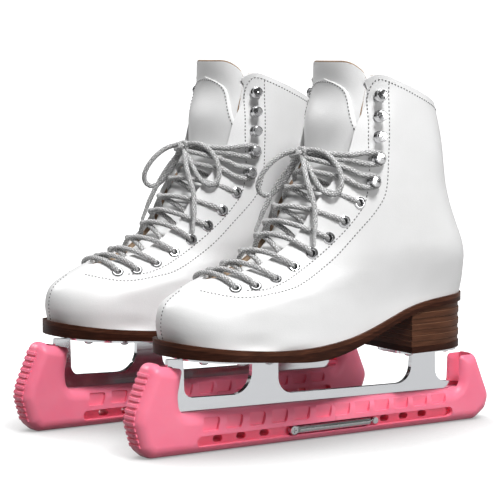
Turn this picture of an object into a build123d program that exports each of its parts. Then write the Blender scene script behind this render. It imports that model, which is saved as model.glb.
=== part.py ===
from build123d import *
import math
import os

# A pair of laced figure-skating boots with steel blades, each standing in a spring-held walking guard.
# Millimetres. +X is toe-ward, +Y is the wearer's left, +Z is up, and the floor is Z = 0.
# Each skate is built about its own centre plane, then set beside the other one.

# ---- The pair -------------------------------------------------------------------------------------
SKATE_SPACING = 127.5
SKATE_STAGGER = 17.0

# ---- Boot body: outlines in the centre plane, as (height, x) --------------------------------------
FRONT_LINE = [(64, 119), (78, 121.5), (90, 122), (97, 120.5), (102, 117.5), (106, 112.5), (110, 105.5),
              (114, 97), (118.5, 83), (124, 66), (134, 50), (146.5, 37), (160, 29), (172, 21), (183, 12.5),
              (200, 4), (234, -4.5), (270, -13)]
BACK_LINE = [(64, -117), (96, -119.7), (107, -121), (123, -120.3), (134, -117.5), (151, -110),
             (174, -102.4), (205, -98), (227, -92.8), (270, -84)]
NOSE_LENGTH = [(64, 38), (90, 40), (97, 46), (102, 58), (106, 76), (110, 92), (118, 98), (125, 88),
               (134, 76), (147, 64), (160, 56), (183, 47), (200, 43), (270, 42)]
LATERAL_PLAN = [(-125, 29), (-85, 30), (-20, 35), (45, 44), (100, 39), (125, 37)]
MEDIAL_PLAN = [(-125, 29), (-85, 29), (-20, 31), (45, 42.5), (100, 38), (125, 37)]
SHAFT_HALF_WIDTH = 39.5
SHAFT_BLEND = (90, 138)
HEEL_ROUND_LENGTH = 42
BOOT_LEVELS = [60, 72, 82, 90, 96, 101, 105, 109, 113, 118, 124, 132, 142, 154, 167, 181, 198, 220, 244, 270]
LEVEL_POINTS = 28

LEATHER = 2.2
STIFFENER = 1.0
LINING = 2.6
INNER_DEPTH = LEATHER + STIFFENER + LINING

# ---- Collar, throat and tongue --------------------------------------------------------------------
COLLAR_LINE = [(-135, 211), (-93, 227.3), (-60, 240.2), (-37, 249.2), (-26, 251.6), (-18, 247.5), (-14, 238)]
THROAT_PLAN = [(-45, 31), (-15, 31), (0, 28.5), (25, 22.5), (50, 17.5), (72, 12.5)]
THROAT_FRONT = 91
EYESTAY_MARGIN = 17
TONGUE_SHIFT = (-5.6, 0, -3.8)
TONGUE_WING = 8
TONGUE_WING_TOP = 183
TONGUE_TOP = 260
TONGUE_CORNER = 15
TONGUE_SPLIT = 207
SOFT_GAP = 0.6
SPLIT_GAP = 0.3

# ---- Sole and heel, as (x, height) ----------------------------------------------------------------
SOLE_TOP = [(-135, 96.2), (-88, 95.5), (-60, 91), (-34, 82), (-6, 74), (20, 71), (42, 70), (75, 71.5),
            (103, 74.5), (135, 79)]
SOLE_BOTTOM = [(-135, 90.5), (-88, 89.5), (-60, 85), (-34, 75.5), (-8, 66.3), (14, 61.8), (32, 61),
               (60, 62.9), (90, 65), (135, 68.2)]
MIDSOLE = 3.0
INSOLE = 3.2
SOLE_EDGE = 2.2
SOLE_PLAN_LEVEL = 80
HEEL_BREAST = -60
HEEL_BOTTOM = 57.5
HEEL_CAP = 4.5
HEEL_LIFTS = 7
HEEL_BACK_TOP = -121
HEEL_BACK_BOTTOM = -115.5

# ---- Blade ----------------------------------------------------------------------------------------
BLADE_THICKNESS = 3.8
BLADE_LOW = 13.05
BLADE_LOW_X = -10
ROCKER = 2100
PLATE = 2.6
SOLE_SCREWS = [(101, 17), (76, 24), (50, 18), (27, 10)]
HEEL_SCREWS = [(-71, 14), (-105, 12)]

# ---- Lacing ---------------------------------------------------------------------------------------
EYELET_ROW = [(81.4, 111.8), (68.8, 113.1), (53.7, 117.1), (37.9, 124.1), (24.2, 132.5), (11.9, 142.2),
              (1.0, 153.0), (-10.1, 165.4)]
HOOK_ROW = [(-19.5, 179.5), (-23.7, 195.1), (-25.7, 209.6), (-26.4, 223.6), (-27.4, 237.5)]
LACING_LEAN = [(0.45, 0.89)] * 2 + [(0.62, 0.78)] * 3 + [(0.85, 0.53)] * 3 + [(0.95, 0.31), (0.99, 0.12)]
LACING_SPREAD = math.radians(58)
LACE = 3.8
EYELET_HOLE = 4.4
EYELET_BARREL = 5.4
EYELET_RING = 8.2
HOOK_RIVET = 1.4
HOOK_NECK = 2.0
HOOK_HEAD = 3.6
HOOK_LACE_LIFT = 3.3
KNOT = Vector(11.5, 0, 198)
KNOT_RADIUS = 5.2
MEDIAL_LOOP = [(10, -3, 199.5), (16, -10, 199), (24, -17, 192.5), (29.5, -21.5, 184), (31.5, -24.5, 176.5),
               (29.5, -26, 170.5), (24.5, -25, 167.5), (19.5, -21.5, 170), (16, -16, 176.5),
               (14.3, -10.5, 184), (12.5, -4.5, 192.5)]
LATERAL_TAIL = [(12.6, 1.5, 196.5), (15, 8, 191.5), (18.5, 14.5, 184.5), (20, 21, 176.5), (19.8, 26, 168),
                (20.5, 29.5, 159.5), (22.5, 32, 151)]
LATERAL_LOOP = [(11, 4, 200), (9, 14, 201.5), (5.5, 24.5, 197.5), (3.4, 31.5, 190.5), (3.2, 35.8, 182.5),
                (4.8, 37, 175), (8.8, 34.8, 170.8), (12.5, 29.4, 172.3), (13.4, 23, 177),
                (13.6, 15.5, 184), (13, 8.5, 192.5)]
MEDIAL_TAIL = [(12.8, 0, 195.5), (13.5, -8, 190.5), (16, -15.5, 182.5), (19.5, -20.5, 173.5),
               (23.5, -23.5, 164.5), (27, -25.5, 155.5)]
LATERAL_AGLET_END = (25.5, 35, 137)
MEDIAL_AGLET_END = (31.5, -27.5, 142.5)
AGLET_RADIUS = 1.3

# ---- Walking guard --------------------------------------------------------------------------------
GUARD_NOSE = [(137, 0), (144, 6), (149.6, 25), (147.5, 34), (135, 63.5)]
GUARD_TAIL = [(-137, 49), (-150.4, 17), (-147, 7), (-137, 0)]
GUARD_WIDTH = 23.0
GUARD_FLOOR = 12.8
GUARD_SPLIT = -10.0
GUARD_SPLIT_GAP = 0.2
SLOT_WIDTH = 5.0
CHANNEL_DEPTH = 5.6
ROD_HEIGHT = 8.7
TUBE_OUTER = 5.6
TUBE_BORE = 4.4
ROD_DIAMETER = 1.8
ROD_Y = 8.9
WEB = GUARD_WIDTH / 2 - CHANNEL_DEPTH
TUBE_FRONT = 20.0
TUBE_END = -40.0
TUBE_CAP = 1.5
ROD_HEAD = 15.0
ROD_HEAD_LENGTH = 2.0
FRONT_ANCHOR = 24.5
REAR_ANCHOR = -45.0
LUG_INNER = ROD_Y - 1.3
LUG_OUTER = ROD_Y + 1.1
ANCHOR_SCREW = 1.5
ANCHOR_PIN = 1.2
ANCHOR_DEPTH = 3.0
SPRING_WIRE = 0.8
SPRING_TURNS = 13

REACH = 90.0


# ---- Curves ---------------------------------------------------------------------------------------
def curve_value(table, position):
    """Smooth value between the entries of a table of (position, value)."""
    last = len(table) - 1
    position = min(max(position, table[0][0]), table[last][0])
    index = 0
    while index < last - 1 and position > table[index + 1][0]:
        index += 1

    def slope(k):
        before = max(k - 1, 0)
        after = min(k + 1, last)
        if before == k or after == k:
            return (table[after][1] - table[before][1]) / (table[after][0] - table[before][0])
        left = (table[k][1] - table[before][1]) / (table[k][0] - table[before][0])
        right = (table[after][1] - table[k][1]) / (table[after][0] - table[k][0])
        return 0 if left * right <= 0 else 2 * left * right / (left + right)

    span = table[index + 1][0] - table[index][0]
    s = (position - table[index][0]) / span
    return (
        table[index][1] * (1 + 2 * s) * (1 - s) ** 2
        + span * slope(index) * s * (1 - s) ** 2
        + table[index + 1][1] * s * s * (3 - 2 * s)
        + span * slope(index + 1) * s * s * (s - 1)
    )


def smooth_step(value, start, end):
    s = min(1, max(0, (value - start) / (end - start)))
    return s * s * (3 - 2 * s)


# ---- Boot body ------------------------------------------------------------------------------------
def front_at(height, depth):
    """Front of the body at a height, and the height of the outer surface that it lies under."""
    run = (curve_value(FRONT_LINE, height + 1) - curve_value(FRONT_LINE, height - 1)) / 2
    length = math.hypot(1, run)
    outer_height = height - depth * run / length
    return curve_value(FRONT_LINE, outer_height) - depth / length, outer_height


def half_width(x, height, side, depth=0.0):
    """Distance of the body's surface from the centre plane; side is +1 lateral, -1 medial."""
    front, outer_height = front_at(height, depth)
    back = curve_value(BACK_LINE, height) + depth
    blend = smooth_step(outer_height, *SHAFT_BLEND)
    plan = curve_value(LATERAL_PLAN if side > 0 else MEDIAL_PLAN, x)
    widest = plan * (1 - blend) + SHAFT_HALF_WIDTH * blend - depth
    power = 2 + 0.4 * smooth_step(outer_height, 110, 190)
    nose = min(1, max(0, (front - x) / curve_value(NOSE_LENGTH, outer_height)))
    heel = min(1, max(0, (x - back) / HEEL_ROUND_LENGTH))
    nose_part = (1 - (1 - nose) ** power) ** (1 / power)
    heel_part = (1 - (1 - heel) ** 2.2) ** (1 / 2.2)
    return widest * nose_part * heel_part


def level_points(height, depth, seam=math.pi):
    """Outline of the body at a height; the seam is the angle at which it starts and closes."""
    front, _ = front_at(height, depth)
    back = curve_value(BACK_LINE, height) + depth
    points = []
    for k in range(LEVEL_POINTS):
        angle = seam + 2 * math.pi * k / LEVEL_POINTS
        x = (front + back) / 2 + (front - back) / 2 * math.cos(angle)
        side = 1 if math.sin(angle) > 0 else -1
        on_centre = abs(math.sin(angle)) < 1e-9
        y = 0 if on_centre else side * half_width(x, height, side, depth)
        points.append((x, y))
    return points


def boot_body(depth_at, seam=math.pi):
    """Solid inside the boot's outer surface by a depth that may change with the height."""
    even_steps = [k / LEVEL_POINTS for k in range(LEVEL_POINTS + 1)]
    sections = []
    for height in BOOT_LEVELS:
        points = [(x, y, height) for x, y in level_points(height, depth_at(height), seam)]
        sections.append(Wire([Edge.make_spline(points, periodic=True, parameters=even_steps)]))
    return Solid.make_loft(sections)


def evenly(depth):
    return boot_body(lambda height: depth)


def side_slab(top, bottom):
    """Solid between two lines of (x, height), right across the boot."""
    upper = Spline(*[(x, 0, z) for x, z in top]) if len(top) > 2 else Line(*[(x, 0, z) for x, z in top])
    lower = Spline(*[(x, 0, z) for x, z in bottom])
    front = Line(upper @ 1, lower @ 1)
    back = Line(lower @ 0, upper @ 0)
    return extrude(make_face([upper, front, lower, back]), REACH, both=True)


def raised(line, amount):
    return [(x, z + amount) for x, z in line]


def plan_prism(points, low, high):
    face = make_face(Spline(*[(x, y, low) for x, y in points], periodic=True))
    return extrude(face, high - low, dir=(0, 0, 1))


def throat_prism(margin):
    """Upright prism over the throat, wider than it by a margin all round."""
    side = [(x, y + margin) for x, y in THROAT_PLAN]
    back = THROAT_PLAN[0][0]
    far_side = [(x, -y) for x, y in reversed(side)]
    outline = Spline(*side, (THROAT_FRONT + margin, 0), *far_side)
    closing = Line(outline @ 1, outline @ 0)
    face = make_face([outline, closing])
    return extrude(Pos(0, 0, 100) * face, 200, dir=(0, 0, 1))


def above_collar():
    line = Spline(*[(x, 0, z) for x, z in COLLAR_LINE])
    start, end = COLLAR_LINE[0], COLLAR_LINE[-1]
    rest = Polyline((end[0], 0, end[1]), (150, 0, end[1]), (150, 0, 320), (start[0], 0, 320),
                    (start[0], 0, start[1]))
    return extrude(make_face([line, rest]), REACH, both=True)


def half_space(side):
    return Pos(0, side * REACH, 160) * Box(400, 2 * REACH, 400)


# ---- Lacing places --------------------------------------------------------------------------------
def surface_point(x, height, side):
    return Vector(x, side * half_width(x, height, side), height)


def surface_normal(x, height, side):
    along = surface_point(x + 1, height, side) - surface_point(x - 1, height, side)
    up = surface_point(x, height + 1, side) - surface_point(x, height - 1, side)
    normal = along.cross(up).normalized()
    return normal if normal.Y * side > 0 else -normal


def outward_plane(place, side, lift=0.0):
    x, height = place
    normal = surface_normal(x, height, side)
    return Plane(surface_point(x, height, side) + normal * lift, z_dir=normal)


def eyelet(place, side):
    ring, barrel, hole = EYELET_RING / 2, EYELET_BARREL / 2, EYELET_HOLE / 2
    depth = INNER_DEPTH
    profile = Polyline((hole, 0, -depth), (barrel, 0, -depth), (barrel, 0, 0), (ring, 0, 0), (ring, 0, 0.4),
                       (ring - 0.9, 0, 0.9), (hole + 0.5, 0, 0.9), (hole, 0, 0.3), (hole, 0, -depth))
    return outward_plane(place, side) * revolve(make_face(profile), Axis.Z)


def lace_hook(place, side):
    rivet, neck, head = HOOK_RIVET, HOOK_NECK, HOOK_HEAD
    profile = Polyline((0, 0, -3), (rivet, 0, -3), (rivet, 0, 0), (4.0, 0, 0), (4.0, 0, 0.8), (neck, 0, 1.4),
                       (neck, 0, 5.0), (head - 0.3, 0, 5.6), (head, 0, 6.0), (head, 0, 7.2), (head - 0.6, 0, 7.8),
                       (0, 0, 8.0), (0, 0, -3))
    return outward_plane(place, side) * revolve(make_face(profile), Axis.Z)


# ---- Cords ----------------------------------------------------------------------------------------
def cord_radii(points):
    radii = []
    for before, corner, after in zip(points, points[1:], points[2:]):
        first, second = corner - before, after - corner
        half_turn = math.radians(first.get_angle(second)) / 2
        radii.append(0.45 * min(first.length, second.length) / math.tan(half_turn))
    return radii


def cord_tube(points, diameter, name=""):
    """Round cord through the corners of a route; a named cord prints its radii, in diameters."""
    points = [Vector(*p) for p in points]
    radii = cord_radii(points)
    if name:
        print(name, "radii in diameters", [round(radius / diameter, 1) for radius in radii])
    path = FilletPolyline(*points, radius=radii)
    start = Plane(path @ 0, z_dir=path % 0)
    return sweep(start * Circle(diameter / 2), path=path)


def lacing_station(index):
    """One row's eyelet place, its lean up the instep, and how far along that lean the instep's front is."""
    x, height = (EYELET_ROW + HOOK_ROW)[index]
    lean_x, lean_z = LACING_LEAN[index]
    reach = 0.0
    while curve_value(FRONT_LINE, height + lean_z * reach) > x + lean_x * reach:
        reach += 0.25
    return x, height, lean_x, lean_z, reach


def lacing_point(index, across, lift):
    """Point over the instep at a row: across runs from +1 at the +Y eyelet to -1 at the other."""
    x, height, lean_x, lean_z, reach = lacing_station(index)
    angle = across * LACING_SPREAD
    flat = math.cos(LACING_SPREAD)
    forward = reach * (math.cos(angle) - flat) / (1 - flat) + math.cos(angle) * lift
    width = half_width(x, height, 1) * math.sin(angle) / math.sin(LACING_SPREAD)
    return Vector(x + lean_x * forward, width + math.sin(angle) * lift, height + lean_z * forward)


def between(index, next_index, fraction, across, lift):
    here = lacing_point(index, across, lift)
    there = lacing_point(next_index, across, lift)
    return here * (1 - fraction) + there * fraction


def crossing(index, side, lift):
    """Strand from inside one eyelet, out through the throat and over to the next one across."""
    inside = -INNER_DEPTH - LACE / 2
    lying = LACE / 2
    following = index + 1
    return [
        lacing_point(index, side, inside),
        between(index, following, 0.1, side * 0.72, inside - 0.3),
        between(index, following, 0.3, side * 0.40, -lying),
        between(index, following, 0.5, 0, lift),
        between(index, following, 0.75, -side * 0.50, lift * 0.5 + 1.6),
        between(index, following, 0.92, -side * 0.82, lying + 0.7),
        lacing_point(following, -side, lying - 0.4),
        lacing_point(following, -side, inside),
    ]


def first_bar():
    """Straight strand across the lowest pair of eyelets, into both of them."""
    inside = -INNER_DEPTH - LACE / 2
    lying = LACE / 2
    places = [(1, inside), (1, lying - 0.4), (0.7, lying + 0.9), (0.25, lying + 0.9)]
    others = [(-across, lift) for across, lift in reversed(places)]
    return [lacing_point(0, across, lift) for across, lift in places + others]


# ---- Sub-parts of the boot ------------------------------------------------------------------------
def make_boot():
    outer = evenly(0)
    leather_back = evenly(LEATHER)
    lining_front = evenly(LEATHER + STIFFENER)
    cavity = evenly(INNER_DEPTH)
    over_sole = side_slab([(-135, 300), (135, 300)], SOLE_TOP)
    throat = throat_prism(0)
    collar = above_collar()

    upper = ((outer - leather_back) & over_sole) - throat - collar
    middle = ((leather_back - lining_front) & over_sole) - throat - collar
    lining = ((lining_front - cavity) & over_sole) - throat - collar

    toe_zone = Pos(150, 0, 85) * Box(170, 200, 80)
    heel_zone = Pos(-140, 0, 110) * Box(160, 200, 70)
    eyestay_zone = throat_prism(EYESTAY_MARGIN)
    eyestay = middle & eyestay_zone
    beyond_eyestay = middle - eyestay_zone
    halves = {1: upper & half_space(1), -1: upper & half_space(-1)}
    for side in (1, -1):
        barrels = [outward_plane(place, side) * Cylinder(EYELET_BARREL / 2, 30) for place in EYELET_ROW]
        rivets = [outward_plane(place, side) * Pos(0, 0, -1) * Cylinder(HOOK_RIVET, 4) for place in HOOK_ROW]
        halves[side] = halves[side] - barrels - rivets
        eyestay = eyestay - barrels - rivets
        lining = lining - barrels
    return {
        "upper_lateral": halves[1],
        "upper_medial": halves[-1],
        "eyestay": eyestay,
        "lining": lining,
        "toe_puff": beyond_eyestay & toe_zone,
        "heel_counter": beyond_eyestay & heel_zone,
        "interlining": beyond_eyestay - toe_zone - heel_zone,
        "insole": cavity & side_slab(raised(SOLE_TOP, INSOLE), SOLE_TOP),
    }


def make_tongue():
    """A leather tongue that lies under the lacing and comes forward, level with the facings, above it."""
    def front_depth(height):
        return INNER_DEPTH + 0.3 - (INNER_DEPTH - 0.5) * smooth_step(height, 186, 222)

    body = boot_body(front_depth, seam=0)
    shell = body - Pos(*TONGUE_SHIFT) * body
    half = THROAT_PLAN[0][1]
    arch = Plane.YZ * Pos(0, TONGUE_TOP - 100) * RectangleRounded(2 * half, 200, TONGUE_CORNER)
    above = Pos(0, 0, TONGUE_SPLIT + 100) * Box(300, 200, 200)
    below = Pos(0, 0, TONGUE_SPLIT - SPLIT_GAP - 100) * Box(300, 200, 200)
    wing_zone = Pos(0, 0, TONGUE_WING_TOP - 100) * Box(300, 200, 200)
    strip = throat_prism(-SOFT_GAP)
    outline = strip + (throat_prism(TONGUE_WING) & wing_zone)
    return {
        "tongue_lower": shell & outline & below,
        "tongue_top": shell & strip & above & extrude(arch, 60, both=True),
    }


def sole_plan(extra):
    return level_points(SOLE_PLAN_LEVEL, -extra)


def make_sole():
    blank = plan_prism(sole_plan(SOLE_EDGE), 40, 120)
    heel_blank = plan_prism(sole_plan(SOLE_EDGE - 1.2), 40, 120)
    narrow_blank = plan_prism(sole_plan(SOLE_EDGE - 1.7), 40, 120)
    midsole_low = raised(SOLE_TOP, -MIDSOLE)
    midsole = blank & side_slab(SOLE_TOP, midsole_low)
    outsole = blank & side_slab(midsole_low, SOLE_BOTTOM)

    breast_foot, back_foot = (HEEL_BREAST, 0, HEEL_BOTTOM), (HEEL_BACK_BOTTOM, 0, HEEL_BOTTOM)
    side_view = make_face(Polyline(breast_foot, (HEEL_BREAST, 0, 100), (HEEL_BACK_TOP, 0, 100), back_foot,
                                   breast_foot))
    wedge = extrude(side_view, REACH, both=True)
    under_sole = side_slab(SOLE_BOTTOM, [(-135, 30), (0, 30), (135, 30)])
    cap_top = HEEL_BOTTOM + HEEL_CAP
    lift = (90 - cap_top) / HEEL_LIFTS
    heel_cap = heel_blank & wedge & (Pos(-90, 0, cap_top - 10) * Box(80, 90, 20))
    lifts = []
    for k in range(HEEL_LIFTS):
        stack = heel_blank if k % 2 else narrow_blank
        layer = Pos(-90, 0, cap_top + lift * (k + 0.5)) * Box(80, 90, lift)
        lifts += (stack & wedge & under_sole & layer).solids()
    return {"midsole": midsole, "outsole": outsole, "heel_cap": heel_cap, "heel_lifts": lifts}


# ---- Blade and its plates -------------------------------------------------------------------------
def rocker_height(x):
    return BLADE_LOW + (x - BLADE_LOW_X) ** 2 / (2 * ROCKER)


def make_blade():
    tail, last_flat = -124, 98
    plate_low = raised(SOLE_BOTTOM, -PLATE)
    heel_plate_low = HEEL_BOTTOM - PLATE
    edge = ThreePointArc((tail, rocker_height(tail)), (BLADE_LOW_X, BLADE_LOW),
                         (last_flat, rocker_height(last_flat)))
    picks = Polyline(edge @ 1, (101, 18.5), (105, 15.4), (107.2, 20), (111.6, 18.8), (112.6, 23.6),
                     (117, 24), (116.6, 28.6), (120.6, 30), (119.8, 35))
    top = Polyline(picks @ 1, (121.5, 46), (117.5, 80), (108, 80), (107, 37.4), (53.4, 35.6), (53, 80),
                   (32, 80), (31.6, 33.4), (-81.6, 31.2), (-83.8, heel_plate_low), (-104.3, heel_plate_low),
                   (-104.8, 30.8), (-127.5, 28.2), (-128, 21), edge @ 0)
    face = make_face([edge, picks, top])
    inner_corners = {(107, 37.4): 7, (53.4, 35.6): 15, (31.6, 33.4): 12, (-81.6, 31.2): 12, (-104.8, 30.8): 9}
    for (x, z), radius in inner_corners.items():
        corner = [v for v in face.vertices() if math.hypot(v.X - x, v.Y - z) < 0.01]
        face = fillet(corner, radius)
    steel = extrude(Plane.XZ * face, BLADE_THICKNESS / 2, both=True)
    steel = steel & side_slab(plate_low, [(-135, 0), (0, 0), (135, 0)])

    spade = [(112, 0), (107, 17), (88, 29), (68, 29), (46, 23), (22, 15), (16, 0),
             (22, -15), (46, -23), (68, -29), (88, -29), (107, -17)]
    sole_plate = plan_prism(spade, 40, 90) & side_slab(SOLE_BOTTOM, plate_low)
    heel_pad = RectangleRounded(52, 40, 12)
    heel_plate = extrude(Pos(-89, 0, heel_plate_low) * heel_pad, PLATE)
    return steel, sole_plate, heel_plate


def plate_screw(x, y, under, length):
    """Domed screw driven upward, with its head under a plate."""
    profile = Polyline((0, 0, -2.0), (1.4, 0, -1.9), (2.8, 0, -1.2), (3.4, 0, 0), (1.8, 0, 0),
                       (1.8, 0, length), (0, 0, length), (0, 0, -2.0))
    return Pos(x, y, under) * revolve(make_face(profile), Axis.Z)


def make_blade_screws():
    screws = []
    for side in (1, -1):
        for x, y in SOLE_SCREWS:
            under = curve_value(SOLE_BOTTOM, x) - PLATE
            screws.append(plate_screw(x, side * y, under, PLATE + 4.5))
        for x, y in HEEL_SCREWS:
            screws.append(plate_screw(x, side * y, HEEL_BOTTOM - PLATE, PLATE + 14))
    return screws


# ---- Walking guard --------------------------------------------------------------------------------
def guard_blank():
    corners = GUARD_NOSE + [(110.5, 59), (114.5, 40), (113, 28.4), (-121, 24), (-121.8, 49)] + GUARD_TAIL
    radii = [8, 8, 12, 5, 6, 2.5, 20, 6, 7, 2.5, 6, 12, 8, 8]
    outline = FilletPolyline(*corners, radius=radii, close=True)
    return extrude(Plane.XZ * make_face(outline), GUARD_WIDTH / 2, both=True)


def rounded_ends(blank):
    """Round the guard's nose and tail in plan, following their lean."""
    ends = [e for e in blank.edges() if abs(abs(e.center().Y) - GUARD_WIDTH / 2) < 0.01
            and (e.center().X > 134 or e.center().X < -139)]
    return fillet(ends, 8.5)


def guard_pockets():
    """Twelve leaning pockets a side, in two groups of six."""
    pockets = []
    for start, pitch, count in ((84, 18.4, 6), (-23.8, 17.0, 6)):
        for k in range(count):
            right = start - pitch * k
            top_right = (right, 24.2)
            shape = make_face(Polyline(top_right, (right + 13, 24.6), (right + 15, 15.6), (right + 2.4, 15.4),
                                       top_right))
            shape = fillet(shape.vertices(), 1.6)
            for side in (1, -1):
                pocket = extrude(Plane.XZ * shape, 2.6, both=True)
                pockets.append(Pos(0, side * GUARD_WIDTH / 2, 0) * pocket)
    return pockets


def guard_channels():
    channels = []
    length, height = 216, 7.2
    for side in (1, -1):
        shape = SlotOverall(length, height)
        channel = extrude(Plane.XZ * Pos(-5.2, ROD_HEIGHT) * shape, CHANNEL_DEPTH, both=True)
        channels.append(Pos(0, side * GUARD_WIDTH / 2, 0) * channel)
    return channels


def drain_slots():
    slots = []
    for x in (83.5, 64.8, 46.0, -56.0, -72.8, -89.5):
        shape = SlotOverall(7.6, 4.6)
        slots.append(extrude(Plane.XZ * Pos(x, ROD_HEIGHT) * shape, GUARD_WIDTH, both=True))
    return slots


def treads():
    """Notches along both lower edges that grip the floor, either side of a flat middle."""
    notches = []
    for k in range(51):
        for side in (1, -1):
            notches.append(Pos(-130 + 5.2 * k, side * GUARD_WIDTH / 2, 0) * Box(2.2, 6.4, 1.6))
    return notches


def nose_height_x(z):
    """Front of the guard at a height, along its straight flanks."""
    table = [(p[1], p[0]) for p in GUARD_NOSE]
    for (z0, x0), (z1, x1) in zip(table, table[1:]):
        if z <= z1:
            return x0 + (x1 - x0) * (z - z0) / (z1 - z0)
    return table[-1][1]


def nose_ribs(blank):
    """Grip ribs across the front of the guard's nose."""
    bars = []
    for k in range(13):
        z = 9 + 3.9 * k
        bars.append(Pos(nose_height_x(z) - 0.5, 0, z) * Box(5, 14, 1.9))
    return [piece for bar in bars for piece in (bar & (Pos(0.9, 0, 0) * blank)).solids()]


def make_guard():
    blank = rounded_ends(guard_blank())
    body = blank + nose_ribs(blank)
    blade_slot = Pos(-2.75, 0, 50 + GUARD_FLOOR) * Box(253.5, SLOT_WIDTH, 100)
    front_pocket = Pos(114, 0, 78) * Box(30, 14, 100)
    rear_pocket = Pos(-125, 0, 75) * Box(17, 14, 100)
    body = body - [blade_slot, front_pocket, rear_pocket]
    body = body - guard_pockets() - guard_channels() - drain_slots() - treads()
    body = body - [across_y(FRONT_ANCHOR, -WEB, WEB, ANCHOR_SCREW), across_y(REAR_ANCHOR, -WEB, WEB, ANCHOR_PIN)]
    gap = GUARD_SPLIT_GAP / 2
    front = body & (Pos(GUARD_SPLIT + gap + 100, 0, 50) * Box(200, 60, 120))
    rear = body & (Pos(GUARD_SPLIT - gap - 100, 0, 50) * Box(200, 60, 120))
    return {"guard_front": front, "guard_rear": rear}


def along_x(start, end, radius, y):
    return Pos((start + end) / 2, y, ROD_HEIGHT) * Rot(0, 90, 0) * Cylinder(radius, abs(end - start))


def across_y(x, start, end, radius):
    return Pos(x, (start + end) / 2, ROD_HEIGHT) * Rot(90, 0, 0) * Cylinder(radius, abs(end - start))


def make_spring_tube(side):
    """Tube on the front half, capped behind round the rod, with a flat lug for its screw."""
    y = side * ROD_Y
    tube = along_x(TUBE_FRONT, TUBE_END, TUBE_OUTER / 2, y)
    tube -= along_x(ROD_HEAD + 1.5, TUBE_END + TUBE_CAP, TUBE_BORE / 2, y)
    tube -= along_x(TUBE_END + TUBE_CAP, TUBE_END, ROD_DIAMETER / 2 + 0.06, y)
    lug = across_y(FRONT_ANCHOR, side * LUG_INNER, side * LUG_OUTER, 2.9)
    lug_middle = side * (LUG_INNER + LUG_OUTER) / 2
    neck = Pos(FRONT_ANCHOR - 2.6, lug_middle, ROD_HEIGHT) * Box(4.2, LUG_OUTER - LUG_INNER, 4.4)
    return tube + neck + lug - across_y(FRONT_ANCHOR, 0, side * 20, ANCHOR_SCREW)


def make_pull_rod(side):
    """Rod with a head for the spring to push on, pinned to the rear half through a flat eye."""
    y = side * ROD_Y
    rod = along_x(ROD_HEAD, REAR_ANCHOR, ROD_DIAMETER / 2, y)
    rod += along_x(ROD_HEAD, ROD_HEAD - ROD_HEAD_LENGTH, TUBE_BORE / 2 - 0.08, y)
    rod += across_y(REAR_ANCHOR, side * (ROD_Y - 1.2), side * (ROD_Y + 1.0), 2.4)
    return rod - across_y(REAR_ANCHOR, 0, side * 20, ANCHOR_PIN)


def make_spring(side):
    """Coil between the tube's cap and the rod's head."""
    start = TUBE_END + TUBE_CAP + 0.1
    end = ROD_HEAD - ROD_HEAD_LENGTH - 0.1
    usable = end - start - SPRING_WIRE
    helix = Helix(usable / SPRING_TURNS, usable, (TUBE_BORE + ROD_DIAMETER) / 4)
    coil = sweep(Plane(helix @ 0, z_dir=helix % 0) * Circle(SPRING_WIRE / 2), path=helix)
    return Pos(start + SPRING_WIRE / 2, side * ROD_Y, ROD_HEIGHT) * Rot(0, 90, 0) * coil


def make_anchor_screw(side):
    """Cross-head screw through the tube's lug into the web."""
    head_top = side * (LUG_OUTER + 1.4)
    shank = across_y(FRONT_ANCHOR, side * (WEB - ANCHOR_DEPTH), side * (ROD_Y + 1.2), ANCHOR_SCREW)
    head = across_y(FRONT_ANCHOR, side * LUG_OUTER, head_top, 2.9)
    place = Pos(FRONT_ANCHOR, head_top, ROD_HEIGHT)
    return shank + head - place * Box(3.6, 1.6, 0.8) - place * Box(0.8, 1.6, 3.6)


def make_anchor_pin(side):
    pin = across_y(REAR_ANCHOR, side * (WEB - ANCHOR_DEPTH), side * (ROD_Y + 1.1), ANCHOR_PIN)
    return pin + across_y(REAR_ANCHOR, side * (ROD_Y + 1.0), side * (ROD_Y + 1.9), 2.2)


def make_spring_units():
    makers = {"spring_tubes": make_spring_tube, "pull_rods": make_pull_rod, "springs": make_spring,
              "anchor_screws": make_anchor_screw, "anchor_pins": make_anchor_pin}
    return {node: [make(side) for side in (1, -1)] for node, make in makers.items()}


# ---- Laces ----------------------------------------------------------------------------------------
def hook_wrap(index, side):
    """Corners of a lace's turn behind a hook's neck, from below it to above it."""
    place = (EYELET_ROW + HOOK_ROW)[index]
    plane = outward_plane(place, side, HOOK_LACE_LIFT)
    up = (Vector(0, 0, 1) - plane.z_dir * plane.z_dir.Z).normalized()
    forward = Vector(up.cross(plane.z_dir)) * -side
    turn = HOOK_NECK + LACE / 2 + 0.15
    corners = [(9, -turn), (-turn, -turn), (-turn, turn), (9, turn)]
    return [plane.origin + forward * ahead + up * rise for ahead, rise in corners]


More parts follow.
